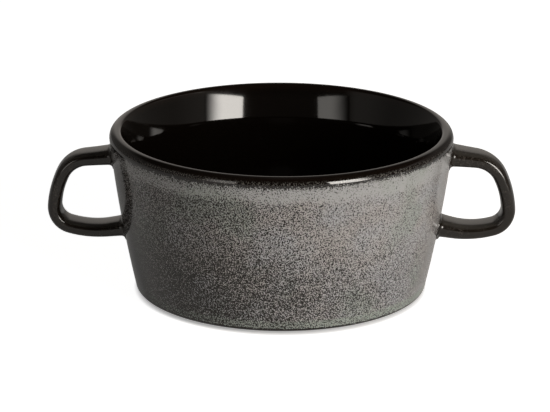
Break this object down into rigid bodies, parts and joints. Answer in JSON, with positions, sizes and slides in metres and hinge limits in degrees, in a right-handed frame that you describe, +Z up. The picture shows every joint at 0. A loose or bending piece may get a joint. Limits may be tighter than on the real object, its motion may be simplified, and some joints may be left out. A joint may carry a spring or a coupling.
{
  "type": "onion soup crock",
  "caption": "Round stoneware soup crock with slightly tapered walls, a dark glossy lining and rim, a speckled grey outside and looped strap handles.",
  "frame": {"origin": "on the table, under the middle of the bowl", "axes": "+X runs through the right handle, +Z is up, and the picture looks along +Y from the front"},
  "size_m": [0.1786, 0.13, 0.063],
  "materials": {
    "stoneware": "unglazed, matte",
    "slip": "unglazed, matte",
    "black_liner_glaze": "gloss",
    "reactive_outer_glaze": "semi-gloss with dark speckle",
    "dark_handle_glaze": "gloss"
  },
  "bodies": {
    "root": {"bowl_body": "stoneware", "left_handle": "stoneware", "right_handle": "stoneware", "left_upper_joint": "slip", "left_lower_joint": "slip", "right_upper_joint": "slip", "right_lower_joint": "slip", "liner_glaze": "black_liner_glaze", "outer_glaze": "reactive_outer_glaze", "base_glaze": "reactive_outer_glaze", "left_handle_glaze": "dark_handle_glaze", "right_handle_glaze": "dark_handle_glaze"}
  },
  "joints": []
}
